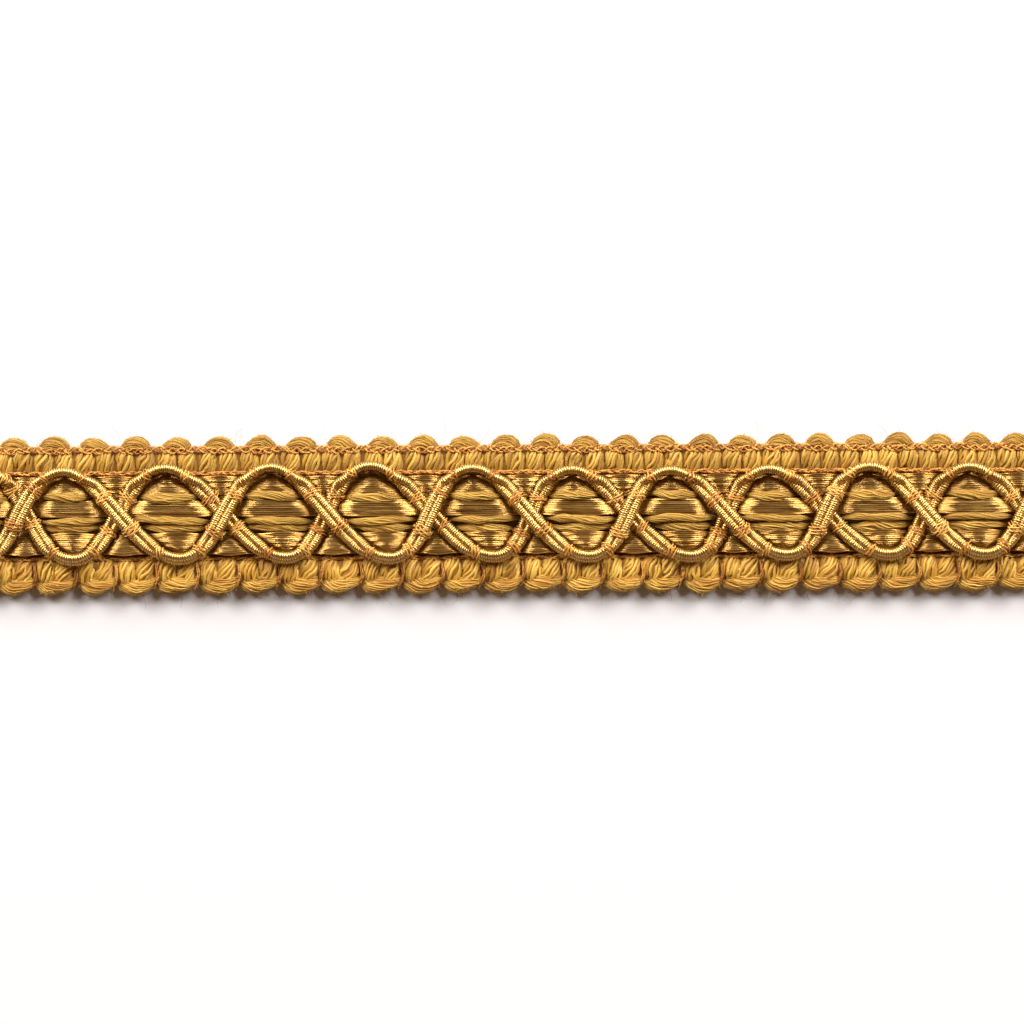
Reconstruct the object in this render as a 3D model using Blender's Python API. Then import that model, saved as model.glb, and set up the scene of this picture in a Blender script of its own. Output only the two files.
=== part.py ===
"""A cut length of gimp braid trim, lying flat on its back.

Row frame in metres: +X runs along the braid, +Y across it towards the edge that is at the top when
the face is seen, +Z is up out of the face. The origin is the middle of the flat back.

The pieces, from the back to the face:
  braided ground   the woven band, with ribs of soft yarn at both borders that turn into edge loops
  strands          three lengths of satin floss and two of soft yarn, which lie along the sunk middle
                   and swell between the cords
  bindings         three rows of fine thread that hold the ribs down
  under cord       the gimp cord that is laid first, a pair of wrapped strands side by side
  over cord        the second gimp cord, half a repeat further on, which passes over the first
"""

import math

import bmesh
import bpy
from mathutils import Matrix, Vector

MM = 0.001

# Size of the braid

LOOPS_PER_REPEAT = 5
LOOPS = 28
REPEAT = 19.0 * MM
LOOP_PITCH = REPEAT / LOOPS_PER_REPEAT
LENGTH = LOOPS * LOOP_PITCH
WIDTH = 15.0 * MM
# Between one piece and the piece that it lies on or beside
GAP = 0.3 * MM

# Drift of the loops along the braid, and their lean from edge to edge, both nothing at the cut ends

LOOP_DRIFT = 0.8 * MM
LOOP_LEAN = 0.027

# Ground: the cross-section of a border, from the sunk field outwards

FIELD_TOP = 0.9 * MM
COLUMNS_PER_LOOP = 6
BORDER_ROWS = [
    # across, height on a rib, height between ribs
    {"across": 3.80 * MM, "rib": FIELD_TOP, "gap": FIELD_TOP},
    {"across": 4.45 * MM, "rib": 1.20 * MM, "gap": 0.95 * MM},
    {"across": 5.00 * MM, "rib": 1.90 * MM, "gap": 1.00 * MM},
    {"across": 5.55 * MM, "rib": 1.90 * MM, "gap": 1.00 * MM},
    {"across": 6.00 * MM, "rib": 1.35 * MM, "gap": 1.15 * MM},
]
VALLEY_REACH = 6.6 * MM
LOOP_CROWN = {"valley": 1.15 * MM, "rise": 0.60 * MM, "share_out": 0.55}
LOOP_SIDE_HEIGHT = 0.9 * MM
FOOT_INSET = 0.3 * MM

# How far each column of a loop stands out, as a share, from the left valley to the right one
LOOP_OUTLINE = {
    "upper": (0.0, 0.50, 0.93, 1.00, 0.93, 0.50),
    "lower": (0.0, 0.62, 1.00, 0.97, 0.76, 0.38),
}
# How much shorter than the longest each loop in turn is
LOOP_SHORTFALL = [share * MM for share in (0.0, 0.14, 0.05, 0.18, 0.02, 0.10, 0.07)]
LOWER_SHORTFALL_START = 3

# Strands along the field: where each lies across the braid, and how far it swells between the cords

STRAND_BACK = FIELD_TOP + GAP
STRAND_TIED = 1.45 * MM
STRAND_STEPS_PER_REPEAT = 16
STRANDS = [
    # name, finish, lower edge, upper edge and swell in millimetres
    {"name": "satin_strand_upper", "finish": "satin_floss", "low": 2.10, "high": 3.60, "swell": 0.85},
    {"name": "soft_strand_upper", "finish": "soft_yarn", "low": 1.35, "high": 1.80, "swell": 0.60},
    {"name": "satin_strand_middle", "finish": "satin_floss", "low": -0.40, "high": 1.05, "swell": 0.90},
    {"name": "soft_strand_lower", "finish": "soft_yarn", "low": -1.10, "high": -0.70, "swell": 0.50},
    {"name": "satin_strand_lower", "finish": "satin_floss", "low": -3.55, "high": -1.40, "swell": 0.85},
]
# How full a strand is from its upper edge to its lower one
STRAND_CROWN = {"satin_floss": (0.40, 1.00, 1.00, 0.40), "soft_yarn": (0.50, 1.00, 0.50)}
# A strand stays pressed down this near to a cord's middle, and is full this much further away
SWELL_STARTS = 1.1 * MM
SWELL_FULL_AFTER = 1.3 * MM

# Bindings: rows of fine thread across the ribs

BINDING_WIDTH = 0.40 * MM
BINDING_THICKNESS = 0.30 * MM
BINDING_STEPS_PER_LOOP = 2
BINDING_DIP = 0.12 * MM
BINDINGS = [
    # name, across, height of the row's back
    {"name": "binding_upper_edge", "across": 6.13 * MM, "back": 1.80 * MM},
    {"name": "binding_upper_inner", "across": 4.12 * MM, "back": 1.42 * MM},
    {"name": "binding_lower_inner", "across": -4.12 * MM, "back": 1.42 * MM},
]

# Gimp cords: a pair of wrapped strands side by side, as points across and up when the cord lies flat

CORD_PROFILE = [
    (0.82 * MM, 0.00 * MM), (0.62 * MM, 0.36 * MM), (0.28 * MM, 0.40 * MM), (0.00 * MM, 0.17 * MM),
    (-0.28 * MM, 0.40 * MM), (-0.62 * MM, 0.36 * MM), (-0.82 * MM, 0.00 * MM),
    (-0.55 * MM, -0.38 * MM), (0.00 * MM, -0.40 * MM), (0.55 * MM, -0.38 * MM),
]
RINGS_PER_STROKE = 9
# The cords' wave lies this much nearer to the upper border
CORD_MIDDLE = 0.15 * MM

# Where each cord turns, left to right, across the braid from the middle of the wave
OVER_TURNS = [
    # turn, along, across
    ("peak", -61.8 * MM, 4.20 * MM), ("valley", -50.8 * MM, -4.20 * MM),
    ("peak", -42.6 * MM, 4.06 * MM), ("valley", -31.6 * MM, -4.21 * MM),
    ("peak", -23.0 * MM, 4.38 * MM), ("valley", -11.8 * MM, -4.23 * MM),
    ("peak", -4.0 * MM, 4.22 * MM), ("valley", 7.0 * MM, -4.15 * MM),
    ("peak", 14.7 * MM, 3.95 * MM), ("valley", 25.7 * MM, -4.09 * MM),
    ("peak", 33.5 * MM, 4.24 * MM), ("valley", 44.4 * MM, -4.08 * MM),
    ("peak", 52.4 * MM, 4.20 * MM), ("valley", 63.4 * MM, -4.10 * MM),
]
UNDER_TURNS = [
    # turn, along, across
    ("valley", -61.2 * MM, -4.20 * MM), ("peak", -50.0 * MM, 4.20 * MM),
    ("valley", -41.7 * MM, -4.28 * MM), ("peak", -33.0 * MM, 4.33 * MM),
    ("valley", -21.6 * MM, -4.14 * MM), ("peak", -13.6 * MM, 4.50 * MM),
    ("valley", -2.0 * MM, -4.12 * MM), ("peak", 5.4 * MM, 4.04 * MM),
    ("valley", 16.6 * MM, -4.19 * MM), ("peak", 24.0 * MM, 4.02 * MM),
    ("valley", 35.3 * MM, -4.09 * MM), ("peak", 42.9 * MM, 4.17 * MM),
    ("valley", 54.1 * MM, -4.10 * MM), ("peak", 62.0 * MM, 4.20 * MM),
]
# How far the cord runs on along the braid before and after each kind of turn
TURN_HANDLES = {
    "peak": {"before": 4.7 * MM, "after": 3.5 * MM},
    "valley": {"before": 4.2 * MM, "after": 3.1 * MM},
}

# How the cord rides up and rolls onto its edge in a turn, and steps over or under at a crossing

CORD_REST = 2.3 * MM
TURN_RISE = {"peak": 0.45 * MM, "valley": 0.55 * MM}
TURN_ROLL = math.radians(60)
TURN_STARTS = 2.0 * MM
TURN_FULL = 4.0 * MM
CROSSING_LIFT = 0.95 * MM
CROSSING_DIP = 0.15 * MM
CROSSING_FLAT = 1.2 * MM
CROSSING_ENDS = 3.2 * MM

# Colours, as linear red, green and blue, with roughness and metallic

FINISHES = {
    "soft_yarn": {"colour": (0.50, 0.27, 0.050), "roughness": 0.85, "metallic": 0.0},
    "satin_floss": {"colour": (0.62, 0.36, 0.080), "roughness": 0.35, "metallic": 0.5},
    "gimp_wrap": {"colour": (0.60, 0.33, 0.065), "roughness": 0.40, "metallic": 0.4},
    "binding_thread": {"colour": (0.50, 0.19, 0.035), "roughness": 0.70, "metallic": 0.0},
}


def clear_scene():
    for old in list(bpy.data.objects):
        bpy.data.objects.remove(old, do_unlink=True)


def finish_material(slot):
    finish = FINISHES[slot]
    material = bpy.data.materials.new(slot)
    material.use_nodes = True
    shader = material.node_tree.nodes["Principled BSDF"]
    shader.inputs["Base Color"].default_value = (*finish["colour"], 1.0)
    shader.inputs["Roughness"].default_value = finish["roughness"]
    shader.inputs["Metallic"].default_value = finish["metallic"]
    return material


def smooth_step(value):
    """0 below 0, 1 above 1, and an even ramp with soft ends between."""
    share = min(1.0, max(0.0, value))
    return share * share * (3 - 2 * share)


def loft(name, rings, material, cut_square=False):
    """One closed solid through rings that have the same number of points, capped at both ends."""
    bm = bmesh.new()
    loops = [[bm.verts.new(point) for point in ring] for ring in rings]
    for first, second in zip(loops, loops[1:]):
        for i in range(len(first)):
            j = (i + 1) % len(first)
            bm.faces.new((first[i], first[j], second[j], second[i]))
    bm.faces.new(loops[0][::-1])
    bm.faces.new(loops[-1])
    if cut_square:
        for end in (-1, 1):
            cut_at(bm, end * LENGTH / 2, end)
    bmesh.ops.recalc_face_normals(bm, faces=bm.faces)
    bmesh.ops.triangulate(bm, faces=bm.faces)
    mesh = bpy.data.meshes.new(name)
    bm.to_mesh(mesh)
    bm.free()
    mesh.shade_smooth()
    mesh.set_sharp_from_angle(angle=math.radians(50))
    mesh.materials.append(material)
    solid = bpy.data.objects.new(name, mesh)
    bpy.context.scene.collection.objects.link(solid)
    return solid


def cut_at(bm, along, outward):
    """Cuts the mesh square across the braid and closes the cut."""
    whole = bm.verts[:] + bm.edges[:] + bm.faces[:]
    cut = bmesh.ops.bisect_plane(
        bm, geom=whole, plane_co=(along, 0, 0), plane_no=(outward, 0, 0), clear_outer=True
    )
    rim = [part for part in cut["geom_cut"] if isinstance(part, bmesh.types.BMEdge)]
    bmesh.ops.edgeloop_fill(bm, edges=rim)


# Braided ground

def place_along(along, across):
    """Moves a point of the even grid along the braid by the loops' drift and lean."""
    fade = math.cos(math.pi * along / LENGTH) ** 2
    return along + (LOOP_DRIFT + LOOP_LEAN * across) * fade


def border_section(along, column, side):
    """The border's outline at one column, from the field's edge over the top and down to the foot."""
    phase = column % COLUMNS_PER_LOOP
    on_rib = phase not in (0, COLUMNS_PER_LOOP // 2)
    sign = 1 if side == "upper" else -1
    loop = column // COLUMNS_PER_LOOP + (0 if side == "upper" else LOWER_SHORTFALL_START)
    share_out = LOOP_OUTLINE[side][phase]
    longest = WIDTH / 2 - LOOP_SHORTFALL[loop % len(LOOP_SHORTFALL)]
    reach = VALLEY_REACH + share_out * (longest - VALLEY_REACH)

    outline = [(row["across"], row["rib"] if on_rib else row["gap"]) for row in BORDER_ROWS]
    last = BORDER_ROWS[-1]["across"]
    crown_across = last + LOOP_CROWN["share_out"] * (reach - last)
    crown_height = LOOP_CROWN["valley"] + LOOP_CROWN["rise"] * share_out
    outline.append((crown_across, crown_height))
    outline.append((reach, LOOP_SIDE_HEIGHT))
    outline.append((reach - FOOT_INSET, 0.0))
    return [
        Vector((place_along(along, sign * across), sign * across, height))
        for across, height in outline
    ]


def braided_ground():
    rings = []
    for column in range(LOOPS * COLUMNS_PER_LOOP + 1):
        along = column * LOOP_PITCH / COLUMNS_PER_LOOP - LENGTH / 2
        upper = border_section(along, column, "upper")
        lower = border_section(along, column, "lower")
        rings.append(upper + lower[::-1])
    return loft("braided_ground", rings, finish_material("soft_yarn"))


def binding(row):
    """A row of fine thread, which rises over each rib and dips in each gap between two."""
    rings = []
    steps = LOOPS * BINDING_STEPS_PER_LOOP
    for i in range(steps + 1):
        along = place_along(i * LENGTH / steps - LENGTH / 2, row["across"])
        on_rib = i % 2 == 1
        back = row["back"]
        top = back + BINDING_THICKNESS - (0 if on_rib else BINDING_DIP)
        shoulder = (back + top) / 2
        rings.append([
            Vector((along, row["across"] - BINDING_WIDTH / 2, back)),
            Vector((along, row["across"] + BINDING_WIDTH / 2, back)),
            Vector((along, row["across"] + BINDING_WIDTH / 2, shoulder)),
            Vector((along, row["across"], top)),
            Vector((along, row["across"] - BINDING_WIDTH / 2, shoulder)),
        ])
    return loft(row["name"], rings, finish_material("binding_thread"))


# Gimp cords

def stroke_points(start, end, count):
    """Points of a cubic curve from one turn to the next, which runs along the braid at both."""
    kind, x0, y0 = start
    next_kind, x1, y1 = end
    leave = x0 + TURN_HANDLES[kind]["after"]
    arrive = x1 - TURN_HANDLES[next_kind]["before"]
    points = []
    for i in range(count):
        t = i / count
        a, b, c, d = (1 - t) ** 3, 3 * t * (1 - t) ** 2, 3 * t * t * (1 - t), t ** 3
        along = a * x0 + b * leave + c * arrive + d * x1
        points.append(Vector((along, CORD_MIDDLE + (a + b) * y0 + (c + d) * y1)))
    return points


def cord_route(turns):
    """The cord's centreline seen from above, through all its turns."""
    route = []
    for start, end in zip(turns, turns[1:]):
        route += stroke_points(start, end, RINGS_PER_STROKE)
    route.append(Vector((turns[-1][1], CORD_MIDDLE + turns[-1][2])))
    return route


def nearest(point, route):
    """How far a point is from a route, seen from above."""
    best = math.inf
    for start, end in zip(route, route[1:]):
        run = end - start
        share = min(1.0, max(0.0, (point - start).dot(run) / run.length_squared))
        best = min(best, (point - start - share * run).length)
    return best


def crossing_share(point, other_route):
    """1 where the other cord crosses here, and 0 away from it."""
    away = nearest(point, other_route) - CROSSING_FLAT
    return 1 - smooth_step(away / (CROSSING_ENDS - CROSSING_FLAT))


def gimp_cord(name, route, other_route, climb):
    """A pair of wrapped strands that follows a route, and climbs by that much where the other crosses."""
    rings = []
    for i, point in enumerate(route):
        ahead = route[min(i + 1, len(route) - 1)]
        behind = route[max(i - 1, 0)]
        forward = (ahead - behind).normalized()
        side = Vector((-forward.y, forward.x, 0))
        turning = smooth_step((abs(point.y) - TURN_STARTS) / (TURN_FULL - TURN_STARTS))
        rise = TURN_RISE["peak" if point.y > 0 else "valley"] * turning
        height = CORD_REST + rise + climb * crossing_share(point, other_route)
        roll = Matrix.Rotation(TURN_ROLL * turning, 2)
        ring = []
        for across_and_up in CORD_PROFILE:
            turned = roll @ Vector(across_and_up)
            ring.append(Vector((point.x, point.y, height + turned.y)) + turned.x * side)
        rings.append(ring)
    return loft(name, rings, finish_material("gimp_wrap"), cut_square=True)


# Strands along the field

def strand_top(point, routes, swell):
    """The top of a strand: low where a cord presses it down, and full away from the cords."""
    away = min(nearest(point, route) for route in routes) - SWELL_STARTS
    return STRAND_TIED + swell * smooth_step(away / SWELL_FULL_AFTER)


def field_strand(strand, routes):
    steps = round(LENGTH / REPEAT * STRAND_STEPS_PER_REPEAT)
    low, high, swell = strand["low"] * MM, strand["high"] * MM, strand["swell"] * MM
    crown = STRAND_CROWN[strand["finish"]]
    rings = []
    for i in range(steps + 1):
        along = i * LENGTH / steps - LENGTH / 2
        ring = [Vector((along, low, STRAND_BACK)), Vector((along, high, STRAND_BACK))]
        for k, fullness in enumerate(crown):
            across = high + k / (len(crown) - 1) * (low - high)
            top = strand_top(Vector((along, across)), routes, swell)
            ring.append(Vector((along, across, STRAND_BACK + fullness * (top - STRAND_BACK))))
        rings.append(ring)
    return loft(strand["name"], rings, finish_material(strand["finish"]))


def main():
    clear_scene()
    over, under = cord_route(OVER_TURNS), cord_route(UNDER_TURNS)
    braided_ground()
    for strand in STRANDS:
        field_strand(strand, (over, under))
    for row in BINDINGS:
        binding(row)
    gimp_cord("gimp_cord_under", under, over, -CROSSING_DIP)
    gimp_cord("gimp_cord_over", over, under, CROSSING_LIFT)


main()
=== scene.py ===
# %% [markdown]
# # Gimp braid trim
# Gimp is the flat braid that covers the tacks along the edge of upholstery. This length is woven from
# matt soft yarn at its two borders and shiny satin floss along its sunk middle. Two cords of wrapped
# gimp cross in a wave over the floss, and fine orange thread holds everything down.
# All sizes are in millimetres until the last moment, because that is how a braid maker thinks.

import bpy
import numpy as np
from mathutils import Euler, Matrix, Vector


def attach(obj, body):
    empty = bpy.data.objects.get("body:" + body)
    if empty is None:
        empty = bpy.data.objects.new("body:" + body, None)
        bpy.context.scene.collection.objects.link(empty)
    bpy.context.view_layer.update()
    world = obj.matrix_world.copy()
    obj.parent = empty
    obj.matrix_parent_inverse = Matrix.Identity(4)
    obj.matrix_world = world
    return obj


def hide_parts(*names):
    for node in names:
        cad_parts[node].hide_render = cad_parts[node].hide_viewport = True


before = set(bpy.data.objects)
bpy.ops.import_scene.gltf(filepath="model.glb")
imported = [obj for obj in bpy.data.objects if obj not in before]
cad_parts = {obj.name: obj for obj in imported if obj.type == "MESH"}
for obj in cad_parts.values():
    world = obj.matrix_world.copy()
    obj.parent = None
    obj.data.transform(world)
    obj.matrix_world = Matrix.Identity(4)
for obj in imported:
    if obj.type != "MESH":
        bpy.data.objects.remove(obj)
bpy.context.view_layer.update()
MM = 0.001


def add_object(name, data):
    """An object at the origin, linked to the scene."""
    made = bpy.data.objects.new(name, data)
    bpy.context.scene.collection.objects.link(made)
    return made


print("solids in the frame:", len(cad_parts))

# %% [markdown]
# ## The size of the braid
# The pattern repeats every 19 mm, which takes five loops of the edge and two crossings of the cords.
# The solids were made with the same sizes, so the yarns here land where the solids are.

# %% Name the sizes that everything follows
LOOPS = 28
REPEAT = 19.0
LOOP_PITCH = REPEAT / 5
LENGTH = LOOPS * LOOP_PITCH
LOOP_DRIFT = 0.8
LOOP_LEAN = 0.027
UP = np.array((0.0, 0.0, 1.0))
chance = np.random.default_rng(28)


def smooth_step(value):
    """0 below 0, 1 above 1, and an even ramp with soft ends between."""
    share = np.clip(value, 0.0, 1.0)
    return share * share * (3.0 - 2.0 * share)


def place_along(along, across):
    """Moves a point of the even grid along the braid by the loops' drift and lean."""
    fade = np.cos(np.pi * along / LENGTH) ** 2
    return along + (LOOP_DRIFT + LOOP_LEAN * across) * fade


print("braid:", LENGTH, "mm long")

# %% [markdown]
# ## Camera
# The photograph looks straight down on the braid, so a long lens is hung above it. One pattern repeat
# measures 201 pixels there, which gives the width of the view and so the height of the camera. The
# braid rises a quarter of a degree to the right, and the camera is turned by as much.

# %% Hang the camera
PICTURE_PIXELS = 1024
REPEAT_PIXELS = 201.0
BRAID_CENTRE_PIXEL = (515.0, 514.5)
BRAID_TILT = np.radians(0.26)
LENS = 135.0
SENSOR = 36.0
FACE_HEIGHT = 2.0

mm_per_pixel = REPEAT / REPEAT_PIXELS
view_width = PICTURE_PIXELS * mm_per_pixel
camera_data = bpy.data.cameras.new("camera")
camera_data.lens = LENS
camera_data.sensor_width = SENSOR
camera_data.clip_start = 0.01
camera = add_object("camera", camera_data)
camera.location = Vector((
    (PICTURE_PIXELS / 2 - BRAID_CENTRE_PIXEL[0]) * mm_per_pixel,
    (BRAID_CENTRE_PIXEL[1] - PICTURE_PIXELS / 2) * mm_per_pixel,
    FACE_HEIGHT + view_width * LENS / SENSOR,
)) * MM
camera.rotation_euler = Euler((0.0, 0.0, -BRAID_TILT))
bpy.context.scene.camera = camera
print("the view is", round(view_width, 1), "mm wide")

# %% [markdown]
# ## Floor and light
# Satin floss shows where its light comes from: each float is bright at both ends and dark in the
# middle. That takes two soft boxes, up to the left and up to the right, with nothing bright between
# them or straight above. They also make the short shadow below the lower edge. A dim warm sky stands
# for the light that the threads throw on each other, and the floor is a little blue to make up for it.

# %% Set the floor and the two soft boxes
BOX_AZIMUTHS = {"soft_box_left": -45.0, "soft_box_right": 45.0}
BOX_ELEVATION = 32.0
BOX_DISTANCE = 1.2
BOX_WIDE, BOX_TALL = 0.50, 0.84
BOX_WATTS = 26.5
BOX_COLOUR = (1.0, 0.935, 0.87)
SKY_COLOUR, SKY_STRENGTH = (1.0, 0.58, 0.32, 1.0), 0.205
FLOOR_SIZE = 3.0
FLOOR_COLOUR, FLOOR_ROUGHNESS = (0.565, 0.585, 0.64, 1.0), 0.9


def hang_soft_box(name, azimuth):
    """A light that faces the braid. Azimuth 0 is up in the picture, and 90 is to the right."""
    light = bpy.data.lights.new(name, "AREA")
    light.shape = "RECTANGLE"
    light.size, light.size_y = BOX_WIDE, BOX_TALL
    light.energy = BOX_WATTS
    light.color = BOX_COLOUR
    lamp = add_object(name, light)
    turn, rise = np.radians(azimuth), np.radians(BOX_ELEVATION)
    away = Vector((np.sin(turn) * np.cos(rise), np.cos(turn) * np.cos(rise), np.sin(rise)))
    lamp.location = away * BOX_DISTANCE
    lamp.rotation_euler = away.to_track_quat("Z", "Y").to_euler()


for box_name, azimuth in BOX_AZIMUTHS.items():
    hang_soft_box(box_name, azimuth)

world = bpy.data.worlds.new("studio")
world.use_nodes = True
sky = world.node_tree.nodes["Background"]
sky.inputs["Color"].default_value = SKY_COLOUR
sky.inputs["Strength"].default_value = SKY_STRENGTH
bpy.context.scene.world = world
bpy.context.scene.view_settings.view_transform = "Standard"

floor_mesh = bpy.data.meshes.new("floor")
half = FLOOR_SIZE / 2
corners = [(-half, -half, 0), (half, -half, 0), (half, half, 0), (-half, half, 0)]
floor_mesh.from_pydata(corners, [], [(0, 1, 2, 3)])
floor_finish = bpy.data.materials.new("floor_paper")
floor_finish.use_nodes = True
paper = floor_finish.node_tree.nodes["Principled BSDF"]
paper.inputs["Base Color"].default_value = FLOOR_COLOUR
paper.inputs["Roughness"].default_value = FLOOR_ROUGHNESS
floor_mesh.materials.append(floor_finish)
floor = add_object("floor", floor_mesh)
print("soft boxes:", len(BOX_AZIMUTHS))

# %% [markdown]
# ## A short way to write nodes
# Shader and geometry nodes are sums, and sums read best as sums. `Wire` holds the output of a node,
# and Python's own operators on it add Math nodes. `Plan` adds every other kind of node with one
# method: first its settings, then what goes into its sockets.

# %% Wire and Plan
class Wire:
    """A node's output, which can be used in Python sums."""

    def __init__(self, plan, socket):
        self.plan = plan
        self.socket = socket

    def output(self, name):
        """Another output of the same node."""
        return Wire(self.plan, self.socket.node.outputs[name])

    def maths(self, operation, *terms):
        return self.plan.node("ShaderNodeMath", {"operation": operation}, dict(enumerate(terms)))

    def __add__(self, other):
        return self.maths("ADD", self, other)

    def __sub__(self, other):
        return self.maths("SUBTRACT", self, other)

    def __rsub__(self, other):
        return self.maths("SUBTRACT", other, self)

    def __mul__(self, other):
        return self.maths("MULTIPLY", self, other)

    def __truediv__(self, other):
        return self.maths("DIVIDE", self, other)

    def __gt__(self, other):
        return self.maths("GREATER_THAN", self, other)

    __radd__ = __add__
    __rmul__ = __mul__


class Plan:
    """A node tree under construction."""

    def __init__(self, tree):
        self.tree = tree

    def node(self, kind, settings=None, sockets=None, output=0):
        made = self.tree.nodes.new(kind)
        for name, value in (settings or {}).items():
            if name == "stops":
                self.set_stops(made.color_ramp.elements, value)
            else:
                setattr(made, name, value)
        for name, value in (sockets or {}).items():
            if isinstance(value, Wire):
                self.tree.links.new(value.socket, made.inputs[name])
            else:
                made.inputs[name].default_value = value
        return Wire(self, made.outputs[output]) if made.outputs else None

    def set_stops(self, stops, values):
        while len(stops) < len(values):
            stops.new(1.0)
        for stop, (place, colour) in zip(stops, values):
            stop.position = place
            stop.color = (*colour, 1.0)

    def attribute(self, name, kind="FLOAT"):
        """A value that each point of a path carries, for a geometry tree."""
        return self.node("GeometryNodeInputNamedAttribute", {"data_type": kind}, {"Name": name})

    def marked(self, geometry, name, value):
        """The geometry with a value kept on its points, for the material to read."""
        kept = {"Geometry": geometry, "Name": name, "Value": value}
        return self.node("GeometryNodeStoreNamedAttribute", {"data_type": "FLOAT"}, kept)

    def scaled(self, vector, factor):
        return self.node("ShaderNodeVectorMath", {"operation": "SCALE"}, {0: vector, "Scale": factor})

    def summed(self, first, second):
        return self.node("ShaderNodeVectorMath", {"operation": "ADD"}, {0: first, 1: second})

    def combined(self, x, y, z):
        return self.node("ShaderNodeCombineXYZ", {}, {"X": x, "Y": y, "Z": z})


print("helpers ready")

# %% [markdown]
# ## One tree that lays every thread
# Ribs, loops, bindings, ties and the wrap of a gimp cord are all the same thing: some plies that turn
# round a path at a steady lay. So one Geometry Nodes tree makes them all. It copies the path once for
# each ply, moves each copy out along a circle that turns with the distance run, and sweeps a small
# round section along it. The path carries its own sideways and upward directions, so a flat lay
# stays flat where the path turns.

# %% Build the tree
CORE_SIDES = 7
NOISE_PER_PLY, NOISE_PER_STRAND = 3.7, 5.3
TURN_PER_STRAND = 0.37
PLY_NUMBERS_PER_STRAND = 31.0
YARN_INPUTS = {
    "Path": "Geometry",
    "Plies": "Int",
    "Ply Radius": "Float",
    "Lay Radius": "Float",
    "Lay Flatness": "Float",
    "Lay Length": "Float",
    "Step": "Float",
    "Sides": "Int",
    "Core Radius": "Float",
    "Waver": "Float",
    "Waver Length": "Float",
    "Unevenness": "Float",
    "Seed": "Float",
    "Finish": "Material",
}


def open_tree(name, inputs):
    """A new geometry tree with named inputs, as a plan and the inputs' wires."""
    plan = Plan(bpy.data.node_groups.new(name, "GeometryNodeTree"))
    for label, kind in inputs.items():
        plan.tree.interface.new_socket(label, in_out="INPUT", socket_type="NodeSocket" + kind)
    plan.tree.interface.new_socket("Geometry", in_out="OUTPUT", socket_type="NodeSocketGeometry")
    first = plan.node("NodeGroupInput")
    return plan, {label: first.output(label) for label in inputs}


def close_tree(plan, mesh, finish):
    """The tree's last nodes: real geometry, smooth, with its material."""
    mesh = plan.node("GeometryNodeRealizeInstances", {}, {"Geometry": mesh})
    mesh = plan.node("GeometryNodeSetShadeSmooth", {}, {"Geometry": mesh})
    mesh = plan.node("GeometryNodeSetMaterial", {}, {"Geometry": mesh, "Material": finish})
    plan.node("NodeGroupOutput", {}, {"Geometry": mesh})


def marked_circle(plan, sides):
    """A round section whose points carry how far round they are, from 0 to 1."""
    circle = plan.node("GeometryNodeCurvePrimitiveCircle", {}, {"Resolution": sides, "Radius": 1.0})
    return plan.marked(circle, "around", plan.node("GeometryNodeSplineParameter"))


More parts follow.
